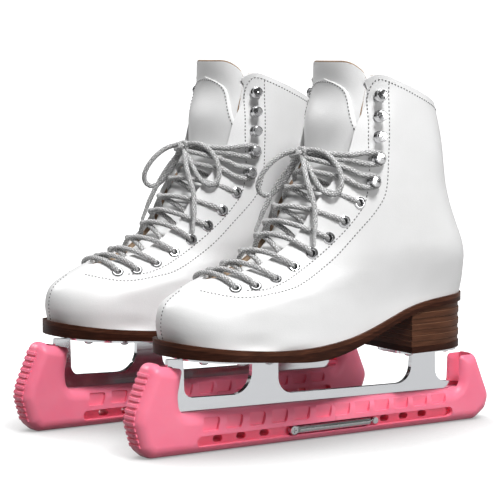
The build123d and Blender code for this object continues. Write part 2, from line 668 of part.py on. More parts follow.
def hook_strand(side, lift):
    """Strand from the top eyelet round the lowest hook across, and back round the next hook."""
    inside = -INNER_DEPTH - LACE / 2
    top = len(EYELET_ROW) - 1
    points = [
        lacing_point(top, side, inside),
        between(top, top + 1, 0.1, side * 0.72, inside - 0.3),
        between(top, top + 1, 0.3, side * 0.40, -LACE / 2),
        between(top, top + 1, 0.5, 0, lift),
        between(top, top + 1, 0.65, -side * 0.4, lift + 1),
        between(top, top + 1, 0.75, -side * 0.75, 5),
    ]
    points += hook_wrap(top + 1, -side)
    points += [
        between(top + 1, top + 2, 0.3, -side * 0.75, 5.5),
        between(top + 1, top + 2, 0.4, -side * 0.4, lift + 2.5),
        between(top + 1, top + 2, 0.55, 0, lift + 2),
        between(top + 1, top + 2, 0.65, side * 0.4, lift + 2.5),
        between(top + 1, top + 2, 0.75, side * 0.75, 5.5),
    ]
    points += hook_wrap(top + 2, side)
    points += [lacing_point(top + 2, side * 0.7, 6), lacing_point(top + 2, side * 0.35, lift + 4)]
    points.append(KNOT + Vector(-1.5, side * 2, lift / 2 - 3))
    return points


def make_laces():
    strands = [cord_tube(first_bar(), LACE)]
    for index in range(len(EYELET_ROW) - 1):
        strands.append(cord_tube(crossing(index, 1, 1.4), LACE))
        strands.append(cord_tube(crossing(index, -1, 4.2), LACE))
    strands.append(cord_tube(hook_strand(1, 1.4), LACE))
    strands.append(cord_tube(hook_strand(-1, 4.4), LACE))
    strands.append(Pos(*KNOT) * Sphere(KNOT_RADIUS))
    tails = [(LATERAL_TAIL[-1], LATERAL_AGLET_END), (MEDIAL_TAIL[-1], MEDIAL_AGLET_END)]
    aglets = []
    for start, end in tails:
        start, end = Vector(*start), Vector(*end)
        across = Plane(start, z_dir=end - start) * Circle(AGLET_RADIUS)
        aglets.append(extrude(across, (end - start).length))
    return {
        "lace": strands,
        "bow_medial": cord_tube(MEDIAL_LOOP + LATERAL_TAIL, LACE, "bow_medial"),
        "bow_lateral": cord_tube(LATERAL_LOOP + MEDIAL_TAIL, LACE, "bow_lateral"),
        "aglets": aglets,
    }


def make_everything():
    nodes = {}
    nodes.update(make_boot())
    nodes.update(make_tongue())
    nodes.update(make_sole())
    steel, sole_plate, heel_plate = make_blade()
    screws = make_blade_screws()
    nodes["blade"] = steel
    nodes["blade_plates"] = [sole_plate - screws, heel_plate - screws]
    nodes["outsole"] = nodes["outsole"] - screws
    nodes["heel_cap"] = nodes["heel_cap"] - screws
    nodes["heel_lifts"] = [lift - screws for lift in nodes["heel_lifts"]]
    nodes["blade_screws"] = screws
    nodes["eyelets"] = [eyelet(place, side) for side in (1, -1) for place in EYELET_ROW]
    nodes["hooks"] = [lace_hook(place, side) for side in (1, -1) for place in HOOK_ROW]
    nodes.update(make_guard())
    nodes.update(make_spring_units())
    return nodes


def as_compound(shape):
    """One compound of every solid in a shape or a list of shapes."""
    shapes = shape if isinstance(shape, list) else [shape]
    return Compound([solid for one in shapes for solid in one.solids()])


def main():
    os.makedirs("parts", exist_ok=True)
    mirrored = make_everything()
    laces = make_laces()
    for name, side in (("left", 1), ("right", -1)):
        place = Pos(-side * SKATE_STAGGER / 2, side * SKATE_SPACING / 2, 0)
        for node, shape in mirrored.items():
            whole = as_compound(shape)
            if side < 0:
                whole = mirror(whole, Plane.XZ)
            export_step(place * whole, f"parts/{name}_{node}.step")
        for node, shape in laces.items():
            export_step(place * as_compound(shape), f"parts/{name}_{node}.step")


main()
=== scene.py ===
"""Looks for a pair of laced skating boots on steel blades, each standing in a pink walking guard."""

import math

import bpy
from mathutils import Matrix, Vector
from mathutils.bvhtree import BVHTree


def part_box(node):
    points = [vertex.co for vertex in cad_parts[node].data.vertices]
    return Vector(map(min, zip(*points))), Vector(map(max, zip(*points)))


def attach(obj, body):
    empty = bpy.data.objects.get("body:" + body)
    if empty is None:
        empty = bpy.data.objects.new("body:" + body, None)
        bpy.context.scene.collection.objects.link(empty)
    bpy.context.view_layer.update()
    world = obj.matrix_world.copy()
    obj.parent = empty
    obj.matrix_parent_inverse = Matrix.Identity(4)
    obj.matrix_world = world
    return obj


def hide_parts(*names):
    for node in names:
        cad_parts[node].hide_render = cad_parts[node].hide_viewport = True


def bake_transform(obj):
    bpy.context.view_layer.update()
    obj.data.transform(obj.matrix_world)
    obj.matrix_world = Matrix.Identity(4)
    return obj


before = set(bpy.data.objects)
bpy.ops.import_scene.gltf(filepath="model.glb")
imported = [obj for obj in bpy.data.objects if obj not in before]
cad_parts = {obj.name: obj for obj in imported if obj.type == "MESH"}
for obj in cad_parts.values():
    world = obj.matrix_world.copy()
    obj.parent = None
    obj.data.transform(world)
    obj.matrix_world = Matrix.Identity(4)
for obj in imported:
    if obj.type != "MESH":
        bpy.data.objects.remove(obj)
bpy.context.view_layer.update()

MM = 0.001
SKATES = {"left": 1, "right": -1}     # each skate and the side its outer face is on
BLADE_TAIL = -128                     # the blade's back end in a skate's own frame
LACE_RADIUS = 1.9
AGLET_RADIUS = 1.3

# Bow cords in a skate's own frame, in millimetres: out of the knot, round a loop, under the knot and down.
BOW_ROUTES = {
    "bow_medial": [
        (10, -3, 199.5), (16, -10, 199), (24, -17, 192.5), (29.5, -21.5, 184), (31.5, -24.5, 176.5),
        (29.5, -26, 170.5), (24.5, -25, 167.5), (19.5, -21.5, 170), (16, -16, 176.5),
        (14.3, -10.5, 184), (12.5, -4.5, 192.5),
        (12.6, 1.5, 196.5), (15, 8, 191.5), (18.5, 14.5, 184.5), (20, 21, 176.5), (19.8, 26, 168),
        (20.5, 29.5, 159.5), (22.5, 32, 151),
    ],
    "bow_lateral": [
        (11, 4, 200), (9, 14, 201.5), (5.5, 24.5, 197.5), (3.4, 31.5, 190.5), (3.2, 35.8, 182.5),
        (4.8, 37, 175), (8.8, 34.8, 170.8), (12.5, 29.4, 172.3), (13.4, 23, 177),
        (13.6, 15.5, 184), (13, 8.5, 192.5),
        (12.8, 0, 195.5), (13.5, -8, 190.5), (16, -15.5, 182.5), (19.5, -20.5, 173.5),
        (23.5, -23.5, 164.5), (27, -25.5, 155.5),
    ],
}
AGLET_ENDS = {"bow_medial": (25.5, 35, 137), "bow_lateral": (31.5, -27.5, 142.5)}
KNOT = Vector((11.5, 0, 198))

# Lacing places as (x, height), the instep's front line as (height, x), and how each row leans up the instep.
EYELET_ROW = [(81.4, 111.8), (68.8, 113.1), (53.7, 117.1), (37.9, 124.1), (24.2, 132.5), (11.9, 142.2),
              (1.0, 153.0), (-10.1, 165.4)]
HOOK_ROW = [(-19.5, 179.5), (-23.7, 195.1)]
LACING_ROW = EYELET_ROW + HOOK_ROW
INSTEP_LINE = [(102, 117.5), (106, 112.5), (110, 105.5), (114, 97), (118.5, 83), (124, 66), (134, 50),
               (146.5, 37), (160, 29), (172, 21), (183, 12.5), (200, 4), (234, -4.5)]
LACING_LEAN = [(0.45, 0.89)] * 2 + [(0.62, 0.78)] * 3 + [(0.85, 0.53)] * 3 + [(0.95, 0.31), (0.99, 0.12)]
LACING_SPREAD = math.radians(58)
UPPER_THICKNESS = 5.8
HOOK_NECK = 2.0
HOOK_LACE_LIFT = 3.3
BESIDE_HOLE = 6                       # far enough from an eyelet's middle to meet leather
HOOK_RUN = 9                          # how far in front of a hook its lace starts to turn

# Stitch lines on the outer leather, as (x, height) in a skate's own frame.
EYESTAY_SEAM = [(101, 110.2), (91, 107.7), (79, 106.2), (61, 108), (39, 112.8), (12.5, 126.4), (-10, 147),
                (-24.6, 161.5), (-31.5, 174), (-33.4, 200), (-34, 221), (-34, 247.4)]
FACING_EDGE = [(-18.3, 186), (-18.6, 207), (-19.6, 222), (-20.6, 236), (-23.3, 246), (-28, 248.4),
               (-39.5, 244.6), (-60, 236), (-80, 228.3), (-92.5, 223.6)]
THROAT_EDGE = [(76, 110.5), (63.5, 110.8), (48, 115.4), (32, 122.8), (18.5, 131.6), (6.5, 141.5),
               (-4.6, 152.6), (-14.5, 166.5), (-18.3, 186)]
TOE_SEAM = range(76, 111)             # heights of the seam down the front of the toe
STITCH_PITCH = 2.6 * MM
STITCH_LENGTH = 1.6 * MM
STITCH_RADIUS = 0.42 * MM
OUTSIDE = 100                         # far enough out of a skate for a ray to meet its surface from there

# The tongue, and the second leather on it: its arched top as (half width, height) and its lower edge.
TONGUE_TOP = 260
TONGUE_HALF = 30.4
TONGUE_CORNER = 15
TONGUE_RIM_LOW = 212
TONGUE_RIM_INSET = 0.35
TONGUE_RIM_RADIUS = 0.75
TONGUE_PANEL = [(31.5, 203), (28.6, 214), (24.4, 228), (19, 240), (10, 245.4), (0, 246.6)]
TONGUE_PANEL_LOW = 158
TONGUE_PANEL_MARGIN = 2.0
TONGUE_PANEL_THICKNESS = 1.0
TONGUE_PANEL_SUNK = 0.2

# Braided cord: lengths in metres, relief as a share of the radius.
BRAID_STEP = 0.45 * MM
BRAID_SIDES = 24
BRAID_CARRIERS = 6
BRAID_PITCH = 3.4 * MM
BRAID_RELIEF = 0.12

# An aglet's outline, as (share of its length, share of its radius).
AGLET_PROFILE = [(-0.02, 1.2), (0.0, 1.38), (0.05, 1.24), (0.3, 1.12), (0.34, 1.0), (0.38, 1.12),
                 (0.62, 1.08), (0.66, 0.97), (0.7, 1.08), (0.93, 1.0), (0.98, 0.75), (1.0, 0.3)]
AGLET_SIDES = 20

# Soft lights as (place, what they face, width, power), in metres and watts.
LIGHTS = {
    "key": ((0.2, 1.3, 1.8), (0, 0, 0.12), 0.5, 45),
    "side": ((-0.4, 1.9, 0.5), (0, 0, 0.12), 0.6, 9),
    "top": ((0.1, 0.1, 1.9), (0, 0, 0.1), 0.9, 9),
    "back": ((0.8, -1.7, 1.2), (0, 0, 0.12), 0.7, 20),
}
MIRRORED_GLOW = 0.5                   # share of the floor's own glow that polished things mirror
PAINTED_SHADOW_REACH = 0.12                  # how far off a thing still darkens the floor's glow with painted contact shadow, in metres


def skate_origin(skate):
    low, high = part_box(skate + "_blade")
    return Vector((low.x - BLADE_TAIL * MM, (low.y + high.y) / 2, 0))


ORIGIN = {skate: skate_origin(skate) for skate in SKATES}


def in_skate(skate, point):
    """A point given in a skate's own frame and millimetres, in the row frame and metres."""
    return ORIGIN[skate] + Vector(point) * MM


# ---- Camera, floor and light ----------------------------------------------------------------------
def make_camera():
    data = bpy.data.cameras.new("camera")
    data.sensor_width = 36
    data.lens = 146.2
    data.clip_start = 0.01
    camera = bpy.data.objects.new("camera", data)
    bpy.context.scene.collection.objects.link(camera)
    camera.location = (0.7897, 1.2098, 0.2678)
    camera.rotation_euler = Vector((-0.5422, -0.8346, -0.0977)).to_track_quat("-Z", "Y").to_euler()
    bpy.context.scene.camera = camera


def make_world(seen, lighting):
    """Pale studio surroundings: bright where the camera sees them, softer and darker low down as light."""
    world = bpy.data.worlds.new("studio")
    bpy.context.scene.world = world
    world.use_nodes = True
    nodes, links = world.node_tree.nodes, world.node_tree.links
    nodes.clear()
    place = nodes.new("ShaderNodeTexCoord")
    split = nodes.new("ShaderNodeSeparateXYZ")
    links.new(place.outputs["Generated"], split.inputs[0])
    ramp = nodes.new("ShaderNodeValToRGB")
    stops = ramp.color_ramp.elements
    stops[0].position, stops[0].color = 0.45, (0.05, 0.05, 0.05, 1)
    stops[1].position, stops[1].color = 0.9, (1, 1, 1, 1)
    middle = stops.new(0.6)
    middle.color = (0.2, 0.2, 0.2, 1)
    half = nodes.new("ShaderNodeMath")
    half.operation = "MULTIPLY_ADD"
    half.inputs[1].default_value = 0.5
    half.inputs[2].default_value = 0.5
    links.new(split.outputs["Z"], half.inputs[0])
    links.new(half.outputs[0], ramp.inputs[0])
    light = nodes.new("ShaderNodeBackground")
    light.inputs["Strength"].default_value = lighting
    links.new(ramp.outputs[0], light.inputs["Color"])
    backdrop = nodes.new("ShaderNodeBackground")
    backdrop.inputs["Strength"].default_value = seen
    path = nodes.new("ShaderNodeLightPath")
    mix = nodes.new("ShaderNodeMixShader")
    output = nodes.new("ShaderNodeOutputWorld")
    links.new(path.outputs["Is Camera Ray"], mix.inputs[0])
    links.new(light.outputs[0], mix.inputs[1])
    links.new(backdrop.outputs[0], mix.inputs[2])
    links.new(mix.outputs[0], output.inputs["Surface"])


def make_floor(glow):
    """A wide floor whose own glow carries it into the background, with painted contact shadow dimming the
    glow where something stands close.
    """
    bpy.ops.mesh.primitive_circle_add(vertices=96, radius=40, fill_type="NGON")
    floor = bpy.context.active_object
    floor.name = "floor"
    material = bpy.data.materials.new("floor")
    material.use_nodes = True
    nodes, links = material.node_tree.nodes, material.node_tree.links
    shader = nodes["Principled BSDF"]
    shader.inputs["Base Color"].default_value = (0.15, 0.15, 0.15, 1)
    shader.inputs["Roughness"].default_value = 0.75
    shader.inputs["Specular IOR Level"].default_value = 0.2
    path = nodes.new("ShaderNodeLightPath")
    mirrored = nodes.new("ShaderNodeMath")
    mirrored.operation = "MULTIPLY"
    mirrored.inputs[1].default_value = MIRRORED_GLOW
    links.new(path.outputs["Is Glossy Ray"], mirrored.inputs[0])
    seen = nodes.new("ShaderNodeMath")
    seen.operation = "MAXIMUM"
    links.new(path.outputs["Is Camera Ray"], seen.inputs[0])
    links.new(mirrored.outputs[0], seen.inputs[1])
    strength = nodes.new("ShaderNodeMath")
    strength.operation = "MULTIPLY"
    strength.inputs[1].default_value = glow
    links.new(seen.outputs[0], strength.inputs[0])
    links.new(strength.outputs[0], shader.inputs["Emission Strength"])
    # Painted shadow: ambient occlusion under and beside the skates darkens the floor's glow into soft contact
    # shadows.
    painted_shadow_ao = nodes.new("ShaderNodeAmbientOcclusion")
    painted_shadow_ao.inputs["Distance"].default_value = PAINTED_SHADOW_REACH
    painted_shadow_ao.samples = 12
    painted_shadow_ramp = nodes.new("ShaderNodeValToRGB")
    stops = painted_shadow_ramp.color_ramp.elements
    stops[0].position, stops[0].color = 0.25, (0.25, 0.25, 0.25, 1)
    stops[1].position, stops[1].color = 0.95, (1, 1, 1, 1)
    open_floor = stops.new(0.75)
    open_floor.color = (0.62, 0.62, 0.62, 1)
    links.new(painted_shadow_ao.outputs["AO"], painted_shadow_ramp.inputs[0])
    links.new(painted_shadow_ramp.outputs[0], shader.inputs["Emission Color"])
    floor.data.materials.append(material)


def make_light(name, place, target, size, power):
    data = bpy.data.lights.new(name, "AREA")
    data.shape = "DISK"
    data.size = size
    data.energy = power
    light = bpy.data.objects.new(name, data)
    bpy.context.scene.collection.objects.link(light)
    light.location = place
    light.rotation_euler = (Vector(target) - Vector(place)).to_track_quat("-Z", "Y").to_euler()


def make_studio():
    """Even white surroundings, lit mostly from above on the skates' +Y side."""
    bpy.context.scene.view_settings.view_transform = "Standard"
    make_world(seen=1.5, lighting=0.22)
    make_floor(glow=1.3)
    for name, setting in LIGHTS.items():
        make_light(name, *setting)


# ---- Materials ------------------------------------------------------------------------------------
class Finish:
    """A material under construction: a Principled shader and the nodes that feed it."""

    def __init__(self, name, color, roughness, **sockets):
        self.material = bpy.data.materials.new(name)
        self.material.use_nodes = True
        self.nodes = self.material.node_tree.nodes
        self.links = self.material.node_tree.links
        self.shader = self.nodes["Principled BSDF"]
        self.shader.inputs["Base Color"].default_value = (*color, 1)
        self.shader.inputs["Roughness"].default_value = roughness
        for socket, value in sockets.items():
            self.shader.inputs[socket.replace("_", " ")].default_value = value
        self.place = self.nodes.new("ShaderNodeTexCoord")
        self.height = None

    def noise(self, scale, detail=2.0, stretch=(1, 1, 1)):
        """Fractal noise; scale is features per metre, divided by stretch along each axis."""
        mapping = self.nodes.new("ShaderNodeMapping")
        mapping.inputs["Scale"].default_value = [1 / s for s in stretch]
        texture = self.nodes.new("ShaderNodeTexNoise")
        texture.inputs["Scale"].default_value = scale
        texture.inputs["Detail"].default_value = detail
        self.links.new(self.place.outputs["Object"], mapping.inputs[0])
        self.links.new(mapping.outputs[0], texture.inputs["Vector"])
        return texture.outputs["Fac"]

    def cells(self, scale):
        texture = self.nodes.new("ShaderNodeTexVoronoi")
        texture.inputs["Scale"].default_value = scale
        self.links.new(self.place.outputs["Object"], texture.inputs["Vector"])
        return texture.outputs["Distance"]

    def layers(self, pitch, start=0.0, wobble=0.0):
        """0 to 1 across each level layer of that thickness in metres, counted up from start."""
        split = self.nodes.new("ShaderNodeSeparateXYZ")
        self.links.new(self.place.outputs["Object"], split.inputs[0])
        level = self.math("MULTIPLY_ADD", split.outputs["Z"], 1 / pitch, -start / pitch)
        if wobble:
            level = self.math("MULTIPLY_ADD", self.noise(40), wobble, level)
        return self.math("FRACT", level)

    def math(self, operation, *values):
        node = self.nodes.new("ShaderNodeMath")
        node.operation = operation
        for socket, value in zip(node.inputs, values):
            if isinstance(value, (int, float)):
                socket.default_value = value
            else:
                self.links.new(value, socket)
        return node.outputs[0]

    def ramp(self, factor, *stops):
        """Colours along a factor, as (position, colour) with a colour of three numbers or one."""
        node = self.nodes.new("ShaderNodeValToRGB")
        elements = node.color_ramp.elements
        while len(elements) < len(stops):
            elements.new(0.5)
        for element, (position, color) in zip(elements, stops):
            element.position = position
            element.color = (*color, 1) if isinstance(color, tuple) else (color, color, color, 1)
        self.links.new(factor, node.inputs[0])
        return node.outputs[0]

    def mix(self, factor, first, second, blend="MIX"):
        node = self.nodes.new("ShaderNodeMix")
        node.data_type = "RGBA"
        node.blend_type = blend
        for socket, value in zip((node.inputs[0], node.inputs[6], node.inputs[7]), (factor, first, second)):
            if isinstance(value, (int, float)):
                socket.default_value = value
            elif isinstance(value, tuple):
                socket.default_value = (*value, 1)
            else:
                self.links.new(value, socket)
        return node.outputs[2]

    def facing(self, axis):
        """Where the surface's own normal points along an axis, as a number from -1 to 1."""
        split = self.nodes.new("ShaderNodeSeparateXYZ")
        self.links.new(self.place.outputs["Normal"], split.inputs[0])
        return split.outputs[axis]

    def set(self, socket, value):
        self.links.new(value, self.shader.inputs[socket])

    def bump(self, height, depth):
        """Relief of that depth in metres, laid over any relief that is there already."""
        node = self.nodes.new("ShaderNodeBump")
        node.inputs["Strength"].default_value = 1
        node.inputs["Distance"].default_value = depth
        self.links.new(height, node.inputs["Height"])
        if self.height is not None:
            self.links.new(self.height, node.inputs["Normal"])
        self.height = node.outputs[0]
        self.links.new(self.height, self.shader.inputs["Normal"])


def white_leather(name="white_leather", lined=False):
    """Smooth coated white leather with a fine grain; a lined piece is tan on its face towards the leg."""
    finish = Finish(name, (0.8, 0.8, 0.8), 0.4, Specular_IOR_Level=0.3)
    cloud = finish.noise(22, 3)
    color = finish.ramp(cloud, (0.3, (0.775, 0.775, 0.772)), (0.7, (0.83, 0.83, 0.832)))
    if lined:
        suede = finish.ramp(finish.noise(300, 4), (0.3, (0.42, 0.29, 0.19)), (0.7, (0.52, 0.37, 0.25)))
        inward = finish.math("LESS_THAN", finish.facing("X"), -0.25)
        color = finish.mix(inward, color, suede)
    finish.set("Base Color", color)
    finish.set("Roughness", finish.ramp(finish.noise(60, 3), (0.3, 0.36), (0.7, 0.46)))
    finish.bump(finish.cells(1500), 0.00004)
    finish.bump(finish.noise(500, 4), 0.00005)
    finish.bump(finish.noise(26, 2), 0.0006)
    return finish.material


def tan_lining():
    """Soft brushed tan leather."""
    finish = Finish("tan_lining", (0.45, 0.32, 0.21), 0.78, Sheen_Weight=0.15)
    color = finish.ramp(finish.noise(260, 5), (0.3, (0.36, 0.25, 0.16)), (0.7, (0.5, 0.36, 0.24)))
    finish.set("Base Color", color)
    finish.bump(finish.noise(1400, 3), 0.00012)
    return finish.material


def leather_edge():
    """Raw cut edge of the layers between the outer leather and the lining."""
    finish = Finish("leather_edge", (0.3, 0.2, 0.13), 0.8)
    color = finish.ramp(finish.noise(900, 3), (0.3, (0.2, 0.13, 0.08)), (0.7, (0.36, 0.25, 0.17)))
    finish.set("Base Color", color)
    finish.bump(finish.noise(2200, 2), 0.00008)
    return finish.material


def sole_leather(name, shades):
    """Waxed sole edge with fine lines along it, in a dark, a middle and a light shade of brown."""
    dark, middle, light = shades
    finish = Finish(name, middle, 0.42, Specular_IOR_Level=0.08)
    fibres = finish.noise(500, 5, stretch=(6, 6, 0.6))
    color = finish.ramp(fibres, (0.3, dark), (0.55, middle), (0.8, light))
    finish.set("Base Color", color)
    finish.set("Roughness", finish.ramp(finish.noise(90, 3), (0.3, 0.36), (0.7, 0.5)))
    finish.bump(fibres, 0.00018)
    return finish.material


def heel_leather():
    """Stacked heel leather: a lighter glue line between the lifts."""
    finish = Finish("heel_leather", (0.09, 0.037, 0.019), 0.45, Specular_IOR_Level=0.12)
    lift = finish.layers(0.004, start=0.062, wobble=0.12)
    fibres = finish.noise(420, 5, stretch=(7, 7, 0.5))
    brown = finish.ramp(fibres, (0.3, (0.06, 0.022, 0.011)), (0.75, (0.12, 0.048, 0.025)))
    line = finish.ramp(lift, (0.0, 1.0), (0.07, 0.0), (0.93, 0.0), (1.0, 1.0))
    finish.set("Base Color", finish.mix(line, brown, (0.26, 0.13, 0.075)))
    finish.bump(fibres, 0.00015)
    finish.bump(finish.ramp(lift, (0.0, 0.0), (0.08, 1.0), (0.92, 1.0), (1.0, 0.0)), 0.0002)
    return finish.material


def polished_metal(name, color, roughness, brushed=(1, 1, 1), scratches=0.00001):
    """Bright metal, finely worn along the directions that brushed stretches."""
    finish = Finish(name, color, roughness, Metallic=1.0)
    worn = finish.noise(700, 4, stretch=brushed)
    finish.set("Roughness", finish.ramp(worn, (0.3, roughness * 0.7), (0.7, roughness * 1.4)))
    finish.bump(worn, scratches)
    return finish.material


def pink_plastic():
    """Soft translucent moulded plastic with a fine matt skin."""
    finish = Finish("pink_plastic", (0.95, 0.07, 0.19), 0.38, Subsurface_Weight=0.25, Subsurface_Scale=0.003,
                    Specular_IOR_Level=0.4)
    finish.shader.inputs["Subsurface Radius"].default_value = (1.0, 0.35, 0.4)
    color = finish.ramp(finish.noise(35, 3), (0.3, (0.96, 0.2, 0.31)), (0.7, (0.99, 0.24, 0.35)))
    finish.set("Base Color", color)
    finish.set("Roughness", finish.ramp(finish.noise(120, 3), (0.3, 0.33), (0.7, 0.45)))
    finish.bump(finish.noise(1800, 3), 0.00003)
    return finish.material


def lace_cord():
    """Grey-white cotton braid: pale raised yarns, painted shade darkening the gaps between them, and grey
    flecks.
    """
    finish = Finish("lace_cord", (0.5, 0.5, 0.49), 0.9, Sheen_Weight=0.15)
    yarn = finish.nodes.new("ShaderNodeAttribute")
    yarn.attribute_name = "yarn"
    # Painted shade: the lower a point lies between the yarns, the darker its colour.
    braid_with_painted_shade = finish.ramp(yarn.outputs["Fac"], (0.05, 0.2), (0.35, 0.55), (0.9, 0.85))
    flecks = finish.ramp(finish.noise(1100, 3), (0.42, 0.45), (0.56, 1.0))
    finish.set("Base Color", finish.mix(1.0, braid_with_painted_shade, flecks, "MULTIPLY"))
    finish.bump(finish.noise(4000, 2), 0.0001)
    return finish.material


def thread():
    """Grey sewing thread, its tone varying at random."""
    finish = Finish("thread", (0.2, 0.2, 0.2), 0.7)
    finish.bump(finish.noise(5000, 2), 0.0001)
    finish.set("Base Color", finish.ramp(finish.noise(2500, 2), (0.3, 0.12), (0.7, 0.22)))
    return finish.material


def clear_sleeve():
    """Grey, glossy plastic of an aglet."""
    finish = Finish("clear_sleeve", (0.5, 0.5, 0.5), 0.16, Coat_Weight=0.6)
    finish.set("Base Color", finish.ramp(finish.noise(900, 3), (0.35, 0.3), (0.65, 0.55)))
    return finish.material


def make_materials():
    lined_leather = white_leather("lined_leather", lined=True)
    leather = white_leather()
    lining, edge, heel = tan_lining(), leather_edge(), heel_leather()
    sole = sole_leather("sole_leather", ((0.02, 0.006, 0.003), (0.035, 0.011, 0.006), (0.065, 0.022, 0.012)))
    welt = sole_leather("welt_leather", ((0.04, 0.014, 0.008), (0.075, 0.027, 0.015), (0.12, 0.045, 0.026)))
    nickel = polished_metal("nickel", (0.62, 0.62, 0.63), 0.14)
    chrome = polished_metal("chrome_steel", (0.66, 0.67, 0.69), 0.12, brushed=(30, 30, 1), scratches=0.000002)
    screw = polished_metal("screw_steel", (0.5, 0.5, 0.51), 0.25)
    tube = polished_metal("tube_steel", (0.55, 0.56, 0.56), 0.22, brushed=(20, 1, 1))
    pink, cord = pink_plastic(), lace_cord()
    finishes = {
        "upper_lateral": leather, "upper_medial": leather,
        "tongue_lower": leather, "tongue_top": lined_leather,
        "eyestay": edge, "interlining": edge, "toe_puff": edge, "heel_counter": edge,
        "lining": lining, "insole": lining,
        "midsole": welt, "outsole": sole, "heel_cap": sole, "heel_lifts": heel,
        "eyelets": nickel, "hooks": nickel,
        "lace": cord, "bow_medial": cord, "bow_lateral": cord, "aglets": cord,
        "blade": chrome, "blade_plates": chrome, "blade_screws": screw,
        "guard_front": pink, "guard_rear": pink,
        "spring_tubes": tube, "pull_rods": screw, "springs": screw,
        "anchor_screws": nickel, "anchor_pins": nickel,
    }
    for node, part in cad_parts.items():
        finish = finishes[node.split("_", 1)[1]]
        if not part.material_slots:
            part.data.materials.append(finish)
        for place in part.material_slots:
            place.material = finish
    return {"cord": cord, "thread": thread(), "sleeve": clear_sleeve(), "leather": leather, "edge": edge}


# ---- Meshes ---------------------------------------------------------------------------------------
def make_object(name, vertices, faces, material):
    mesh = bpy.data.meshes.new(name)
    mesh.from_pydata(vertices, [], faces)
    mesh.shade_smooth()
    mesh.materials.append(material)
    piece = bpy.data.objects.new(name, mesh)
    bpy.context.scene.collection.objects.link(piece)
    return piece


def make_piece(name, vertices, faces, material, body):
    """A visible piece that moves with one body."""
    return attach(make_object(name, vertices, faces, material), body)


def ring_of(centre, side, up, radius, count):
    """Points round a centre, spread evenly in the plane of two directions."""
    angles = [2 * math.pi * k / count for k in range(count)]
    return [centre + side * (radius * math.cos(a)) + up * (radius * math.sin(a)) for a in angles]


def join_rings(first, rings, sides):
    """Faces between rings of vertices that follow each other, with the two ends closed."""
    faces = []
    for ring in range(rings - 1):
        low = first + ring * sides
        for k in range(sides):
            after = (k + 1) % sides
            faces.append((low + k, low + after, low + sides + after, low + sides + k))
    last = first + (rings - 1) * sides
    faces.append(tuple(first + k for k in reversed(range(sides))))
    faces.append(tuple(last + k for k in range(sides)))
    return faces


def spaced(points, step):
    """Points at equal steps along a chain of points."""
    spots = [points[0]]
    to_go = step
    for start, end in zip(points, points[1:]):
        length = (end - start).length
        done = 0.0
        while length - done >= to_go:
            done += to_go
            spots.append(start.lerp(end, done / length))
            to_go = step
        to_go -= length - done
    return spots


def tube_frames(points):
    """(point, direction, side, up) along a chain, turned as little as possible from each to the next."""
    frames = []
    side = None
    for k, point in enumerate(points):
        direction = (points[min(k + 1, len(points) - 1)] - points[max(k - 1, 0)]).normalized()
        if side is None:
            side = direction.orthogonal().normalized()
        side = (side - direction * side.dot(direction)).normalized()
        frames.append((point, direction, side, direction.cross(side)))
    return frames


def braid(points, radius):
    """Vertices, faces and yarn heights of a round cord braid, the heights for the painted shade in its gaps:
    crossing carriers stand up in diamonds.
    """
    frames = tube_frames(spaced(points, BRAID_STEP))
    vertices, shades = [], []
    for ring, (point, _, side, up) in enumerate(frames):
        turn = 2 * math.pi * ring * BRAID_STEP / BRAID_PITCH
        for k in range(BRAID_SIDES):
            angle = 2 * math.pi * k / BRAID_SIDES
            forth = math.cos((BRAID_CARRIERS * angle + turn) / 2)
            back = math.cos((BRAID_CARRIERS * angle - turn) / 2)
            over = abs(forth * back)
            reach = radius * (1 - BRAID_RELIEF + BRAID_RELIEF * over)
            vertices.append(point + side * (reach * math.cos(angle)) + up * (reach * math.sin(angle)))
            shades.append(over)
    return vertices, join_rings(0, len(frames), BRAID_SIDES), shades


def shade(piece, values):
    """Gives each vertex how far its yarn stands up, which the cord's material turns into pale yarn and
    painted shade in the gaps.
    """
    attribute = piece.data.attributes.new("yarn", "FLOAT", "POINT")
    attribute.data.foreach_set("value", values)


def centreline(name, route):
    """Points of the smooth line that a route's points control."""
    curve = bpy.data.curves.new(name, "CURVE")
    curve.dimensions = "3D"
    curve.resolution_u = 16
    spline = curve.splines.new("NURBS")
    spline.points.add(len(route) - 1)
    for spot, place in zip(spline.points, route):
        spot.co = (*place, 1)
    spline.order_u = 3
    spline.use_endpoint_u = True
    carrier = bpy.data.objects.new(name, curve)
    bpy.context.scene.collection.objects.link(carrier)
    bpy.context.view_layer.update()
    mesh = bpy.data.meshes.new_from_object(carrier)
    points = [vertex.co.copy() for vertex in mesh.vertices]
    bpy.data.meshes.remove(mesh)
    bpy.data.objects.remove(carrier)
    bpy.data.curves.remove(curve)
    return points


# ---- Laces ----------------------------------------------------------------------------------------
def make_aglet(name, start, end, material, body):
    """Sleeve crimped on the lace's end, slightly flared at its mouth and rounded at its tip."""
    _, _, side, up = tube_frames([start, end])[0]
    vertices = []
    for along, width in AGLET_PROFILE:
        vertices += ring_of(start.lerp(end, along), side, up, AGLET_RADIUS * MM * width, AGLET_SIDES)
    faces = join_rings(0, len(AGLET_PROFILE), AGLET_SIDES)
    return make_piece(name, vertices, faces, material, body)


def make_bow(skate, materials):
    """The bow's two free cords, each a loop and an end with its aglet."""
    body = skate + "_skate"
    for strand, route in BOW_ROUTES.items():
        name = f"{skate}_{strand}"
        points = centreline(name + "_line", [in_skate(skate, place) for place in route])
        vertices, faces, shades = braid(points, LACE_RADIUS * MM)
        cord = make_piece(name + "_braid", vertices, faces, materials["cord"], body)
        shade(cord, shades)
        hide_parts(name)
        tip = in_skate(skate, AGLET_ENDS[strand])
        aglet = make_aglet(name + "_aglet", points[-1], tip, materials["sleeve"], body)
        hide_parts(skate + "_aglets")


def instep_front(height):
    """x of the instep's front line at a height."""
    for (low, start), (high, end) in zip(INSTEP_LINE, INSTEP_LINE[1:]):
        if height <= high:
            return start + (end - start) * (height - low) / (high - low)
    return INSTEP_LINE[-1][1]


